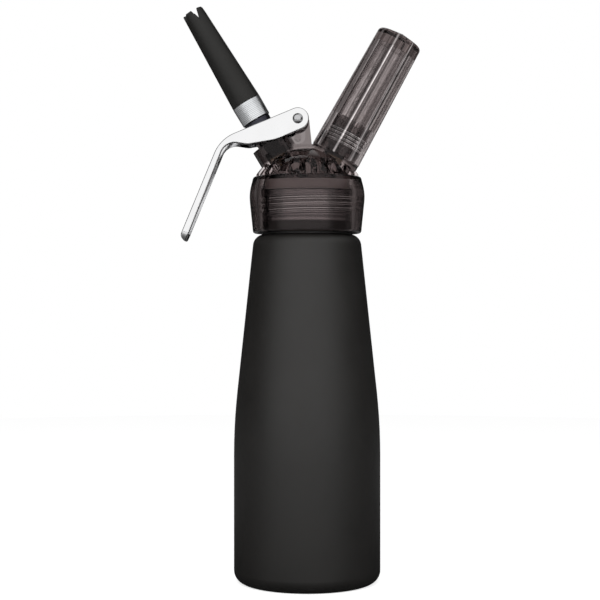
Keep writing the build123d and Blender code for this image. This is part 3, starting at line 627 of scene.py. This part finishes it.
def soft_rubber(name, tint, roughness, bloom):
    """Rubber with a dull grain and a pale bloom in patches."""
    f = Finish(name)
    grain = f.effect("Grain", Size=0.00025)
    worn = f.effect("Edge wear", Width=RUBBED_WIDTH, Amount=0.5, Patch=0.0015)["Mask"]
    patches = f.spread(grain["Tone"], 0.35, 0.75, 0.0, bloom)
    pale = plain_colour([min(1.0, channel * 1.5 + 0.02) for channel in tint])
    body = f.mix(patches, plain_colour(tint), pale)
    f.set("Base Color", f.mix(f.math("MULTIPLY", worn, 0.5), body, pale))
    f.set("Roughness", f.vary(grain["Height"], roughness - 0.06, roughness + 0.06))
    f.set("Specular IOR Level", 0.3)
    f.set("Normal", f.bump(grain["Height"], 0.00001, 0.5))
    return f


def sintered_metal(tint):
    """Disc of fused metal grains, each painted darker towards its edge as shade in the gaps between
    the grains.
    """
    f = Finish("sintered disc")
    cells = f.node("TexVoronoi", Vector=f.place(), Scale=4200.0)
    grain = f.effect("Grain", Size=0.0003)
    # Painted shade in the gaps between the grains.
    dark = f.spread(cells.outputs["Distance"], 0.1, 0.6, 1.0, 0.45)
    f.set("Base Color", f.shade(tint, dark))
    f.set("Metallic", 1.0)
    f.set("Roughness", f.vary(grain["Height"], 0.45, 0.65))
    f.set("Normal", f.bump(cells.outputs["Distance"], 0.00008, 0.8))
    return f


# ================================================================ pieces
class DISPENSER_OT_bottle(bpy.types.Operator):
    """Gives the bottle its matte coat and its bare neck"""

    bl_idname = "dispenser.bottle"
    bl_label = "Bottle"

    def execute(self, context):
        coated_bottle(context.scene.dispenser.paint).dress("bottle")
        return {"FINISHED"}


class DISPENSER_OT_head(bpy.types.Operator):
    """Gives the head its smoked plastic"""

    bl_idname = "dispenser.head"
    bl_label = "Head"

    def execute(self, context):
        s = context.scene.dispenser.smoked
        finish = smoked_plastic("smoked plastic of the head", s, s.head_density, s.head_marks)
        # Painted light and shade: one level for each part of the head.
        finish.set("Base Color", painted_shading_of_head(finish, s))
        finish.dress("head_body")
        return {"FINISHED"}


class DISPENSER_OT_charger_holder(bpy.types.Operator):
    """Gives the charger holder its smoked plastic"""

    bl_idname = "dispenser.charger_holder"
    bl_label = "Charger holder"

    def execute(self, context):
        s = context.scene.dispenser.smoked
        name = "smoked plastic of the holder"
        finish = smoked_plastic(name, s, s.holder_density, s.holder_marks)
        groove, flank_painted_shade, fine, painted_glint = streaks_round(finish, s)
        # Painted light and shade: grooves painted white, their flanks painted with shade, and
        # streaks of painted light and shade on the lands.
        dark = plain_colour(s.land_painted_shade)
        painted_land_streaks = finish.mix(finish.spread(fine, 0.43, 0.6), dark, plain_colour(s.land_painted_light))
        wall = finish.mix(flank_painted_shade, painted_land_streaks, dark)
        finish.set("Base Color", finish.mix(groove, wall, WHITE))
        # Painted glint: the grooves glow faintly as if catching highlights, though nothing there is
        # a lamp.
        finish.set("Emission Color", finish.mix(painted_glint, BLACK, plain_colour(s.painted_glint)))
        finish.set("Emission Strength", 1.0)
        finish.dress("charger_holder")
        return {"FINISHED"}


class DISPENSER_OT_lever(bpy.types.Operator):
    """Gives the lever its chrome and its pin and clip their steel"""

    bl_idname = "dispenser.lever"
    bl_label = "Lever and pin"

    def execute(self, context):
        s = context.scene.dispenser.metal
        plate = polished_metal("chrome plate", s.chrome, roughness=0.05, patch=0.015)
        pin = polished_metal("polished pin steel", s.steel, roughness=0.12, patch=0.003, wear=0.6)
        clip = polished_metal("clip steel", s.steel, roughness=0.28, patch=0.004, wear=0.6)
        plate.dress("lever")
        pin.dress("lever_pin")
        clip.dress("lever_pin_clip")
        return {"FINISHED"}


class DISPENSER_OT_nozzle(bpy.types.Operator):
    """Gives the nozzle's collar its turned lines and its tip its satin plastic"""

    bl_idname = "dispenser.nozzle"
    bl_label = "Nozzle"

    def execute(self, context):
        metal = context.scene.dispenser.metal
        soft = context.scene.dispenser.soft
        collar = turned_metal(
            "turned aluminium",
            metal.aluminium,
            VALVE,
            pitch=metal.line_pitch,
            roughness=0.26,
            dark_line=0.62,
        )
        collar.dress("nozzle_collar")
        tip = moulded_plastic("satin black plastic", soft.plastic, soft.plastic_roughness)
        tip.dress("nozzle_tip")
        return {"FINISHED"}


class DISPENSER_OT_valve(bpy.types.Operator):
    """Gives the valve's stem, nut, washer and bush their metals"""

    bl_idname = "dispenser.valve"
    bl_label = "Valve"

    def execute(self, context):
        s = context.scene.dispenser.metal
        # The stem's colour is painted shade, as dark as the gap under the collar looks.
        stem = turned_metal("dark turned steel", s.steel_painted_shade, VALVE, pitch=0.0003, roughness=0.3)
        nut = polished_metal("nut steel", s.steel, roughness=0.25, patch=0.004, wear=0.7)
        washer = turned_metal("washer steel", s.steel, VALVE, pitch=0.0005, roughness=0.3)
        bush = turned_metal("turned brass", s.brass, VALVE, pitch=0.0004, roughness=0.26)
        stem.dress("valve_stem")
        nut.dress("valve_nut")
        washer.dress("spring_washer")
        bush.dress("valve_bush")
        return {"FINISHED"}


class DISPENSER_OT_spring(bpy.types.Operator):
    """Makes a copy of the valve's return spring in its own steel, carried by the head, and hides
    the CAD spring
    """

    bl_idname = "dispenser.spring"
    bl_label = "Return spring"

    def execute(self, context):
        solid = frame["nodes"]["valve_spring"]
        spring = bpy.data.objects.new("return_spring", solid.data.copy())
        spring.matrix_world = solid.matrix_world
        context.scene.collection.objects.link(spring)
        stroke = joint_named("valve_slide")
        up = -Vector(stroke["axis"])
        reach = [up.dot(spring.matrix_world @ point.co) for point in spring.data.vertices]
        s = context.scene.dispenser.metal
        finish = polished_metal("spring steel", s.steel_painted_shade, roughness=0.2, patch=0.003)
        spring.data.materials.clear()
        spring.data.materials.append(finish.material)
        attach(spring, "head")
        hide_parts("valve_spring")
        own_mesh(spring)
        return {"FINISHED"}


class DISPENSER_OT_piercer(bpy.types.Operator):
    """Gives the piercing insert, needle and filter their metals"""

    bl_idname = "dispenser.piercer"
    bl_label = "Piercer"

    def execute(self, context):
        s = context.scene.dispenser.metal
        insert = turned_metal("brass of the insert", s.brass, CHARGER, pitch=0.0004, roughness=0.26)
        needle = turned_metal(
            "ground needle steel", s.steel, CHARGER, pitch=0.00015, roughness=0.18
        )
        insert.dress("piercer_body")
        needle.dress("piercing_needle")
        sintered_metal(s.steel).dress("gas_filter")
        return {"FINISHED"}


class DISPENSER_OT_seals(bpy.types.Operator):
    """Gives the seals their rubber, the gasket its silicone and the small plastic rings theirs"""

    bl_idname = "dispenser.seals"
    bl_label = "Seals and bushes"

    def execute(self, context):
        s = context.scene.dispenser.soft
        soft_rubber("black rubber", s.rubber, roughness=0.6, bloom=0.4).dress(
            "stem_o_rings",
            "valve_seal",
            "nozzle_washer",
            "piercer_o_ring",
            "charger_seal",
            "check_valve",
        )
        gasket = soft_rubber("pale silicone", s.silicone, roughness=0.55, bloom=0.5)
        gasket.dress("head_gasket")
        bearing = moulded_plastic("black bearing plastic", s.plastic, roughness=0.4)
        bearing.dress("pivot_bush", "check_valve_ring")
        return {"FINISHED"}


def round_floor(radius):
    """Flat round floor as one mesh."""
    mesh = bpy.data.meshes.new("floor")
    turns = [FULL_TURN * number / FLOOR_SIDES for number in range(FLOOR_SIDES)]
    ring = [(radius * cos(turn), radius * sin(turn), 0.0) for turn in turns]
    mesh.from_pydata(ring, [], [tuple(range(FLOOR_SIDES))])
    return bpy.data.objects.new("floor", mesh)


def floor_finish(s):
    """Pale matte floor that shows white and keeps the shadow, with painted shade on the floor near
    the object that only reflections show.
    """
    f = Finish("pale floor")
    grain = f.effect("Grain", Size=0.004)
    tone = f.vary(grain["Height"], 0.985, 1.0)
    rays = f.node("LightPath").outputs
    # Painted shade: near the object the floor shows darker in reflections only, standing in for a
    # dark room there.
    near = f.spread(f.size(f.place()), 0.12, 0.5, s.near_floor_painted_shade, 1.0)
    seen = f.blend(rays["Is Glossy Ray"], tone, f.math("MULTIPLY", tone, near))
    f.set("Base Color", f.shade(s.floor, seen))
    f.set("Roughness", 0.9)
    f.set("Specular IOR Level", 0.0)
    shown = f.math("ADD", rays["Is Camera Ray"], rays["Is Transmission Ray"], clamp=True)
    f.set("Emission Color", WHITE)
    f.set("Emission Strength", f.math("MULTIPLY", shown, s.floor_glow))
    return f.material


def window(w, way, middle, edge, full):
    """Round soft-edged light patch in the surroundings, between two cosines from its middle."""
    toward = w.dot(way, Vector(middle).normalized())
    return w.spread(toward, edge, full, smooth=True)


def surroundings(s):
    """White backdrop and white front of the room, dark sides, and an even soft light."""
    world = bpy.data.worlds.new("white room")
    world.use_nodes = True
    w = Wiring(world.node_tree)
    rays = w.node("LightPath").outputs
    way = w.node("TexCoord").outputs["Generated"]
    ahead = w.dot(way, Vector(s.front_way).normalized())
    front = w.spread(ahead, 0.3, 0.72, s.side_tone, 1.0, smooth=True)
    behind = w.spread(ahead, -0.62, -0.82, s.through_tone, 1.0, smooth=True)
    right = window(w, way, s.right_way, edge=0.8, full=0.93)
    back = window(w, way, s.back_way, edge=0.86, full=0.96)
    high_right = w.math("MULTIPLY", right, s.right_tone)
    high_back = w.math("MULTIPLY", back, s.back_tone)
    mirrored = w.math("MAXIMUM", w.math("MAXIMUM", front, high_right), high_back)
    through = w.math("MAXIMUM", front, behind)
    level = w.blend(rays["Is Glossy Ray"], s.ambient, mirrored)
    level = w.blend(rays["Is Transmission Ray"], level, through)
    level = w.math("MAXIMUM", level, rays["Is Camera Ray"])
    backdrop = world.node_tree.nodes["Background"]
    backdrop.inputs["Color"].default_value = WHITE
    w.put(level, backdrop.inputs["Strength"])
    return world


def soft_lamp(s):
    """Large area lamp in front, which neither the camera nor any reflection shows."""
    data = bpy.data.lights.new("front lamp", "AREA")
    data.shape = "RECTANGLE"
    data.size = s.lamp_width
    data.size_y = s.lamp_height
    data.energy = s.front_power
    lamp = bpy.data.objects.new("front lamp", data)
    lamp.location = s.lamp_place
    way = Vector(s.lamp_aim) - Vector(s.lamp_place)
    lamp.rotation_euler = way.to_track_quat("-Z", "Y").to_euler()
    lamp.visible_camera = False
    lamp.visible_glossy = False
    lamp.visible_transmission = False
    return lamp


def level_camera(s):
    """Camera that looks level along +Y."""
    data = bpy.data.cameras.new("camera")
    data.lens = s.lens
    data.sensor_width = SENSOR_WIDTH
    data.dof.use_dof = False
    camera = bpy.data.objects.new("camera", data)
    camera.location = s.camera_place
    camera.rotation_euler = (radians(90.0), 0.0, 0.0)
    return camera


class DISPENSER_OT_stage(bpy.types.Operator):
    """Sets the floor, the surroundings, the lamps and the camera"""

    bl_idname = "dispenser.stage"
    bl_label = "Stage"

    def execute(self, context):
        s = context.scene.dispenser.stage
        floor = round_floor(s.floor_radius)
        floor.data.materials.append(floor_finish(s))
        context.scene.collection.objects.link(floor)
        context.scene.world = surroundings(s)
        context.scene.collection.objects.link(soft_lamp(s))
        camera = level_camera(s)
        context.scene.collection.objects.link(camera)
        context.scene.camera = camera
        context.scene.view_settings.view_transform = "Standard"
        return {"FINISHED"}


class DISPENSER_PT_panel(bpy.types.Panel):
    """Lists the pieces and the stage with their settings"""

    bl_idname = "DISPENSER_PT_panel"
    bl_label = "Whipped cream dispenser"
    bl_space_type = "VIEW_3D"
    bl_region_type = "UI"
    bl_category = "Dispenser"

    def draw(self, context):
        settings = context.scene.dispenser
        for piece in OPERATORS:
            self.layout.operator(piece.bl_idname)
        for name in ("paint", "smoked", "metal", "soft", "stage"):
            group = getattr(settings, name)
            box = self.layout.box()
            box.label(text=name.capitalize())
            for key in type(group).__annotations__:
                box.prop(group, key)


OPERATORS = (
    DISPENSER_OT_stage,
    DISPENSER_OT_bottle,
    DISPENSER_OT_head,
    DISPENSER_OT_charger_holder,
    DISPENSER_OT_lever,
    DISPENSER_OT_nozzle,
    DISPENSER_OT_valve,
    DISPENSER_OT_spring,
    DISPENSER_OT_piercer,
    DISPENSER_OT_seals,
)
SETTINGS = (
    PaintSettings,
    SmokedSettings,
    MetalSettings,
    SoftSettings,
    StageSettings,
    DispenserSettings,
)


def register():
    for one in SETTINGS + OPERATORS + (DISPENSER_PT_panel,):
        bpy.utils.register_class(one)
    bpy.types.Scene.dispenser = bpy.props.PointerProperty(type=DispenserSettings)


def unregister():
    del bpy.types.Scene.dispenser
    for one in reversed(SETTINGS + OPERATORS + (DISPENSER_PT_panel,)):
        bpy.utils.unregister_class(one)


def main():
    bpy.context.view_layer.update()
    register()
    for piece in OPERATORS:
        group, name = piece.bl_idname.split(".")
        getattr(getattr(bpy.ops, group), name)()


if __name__ == "__main__":
    main()
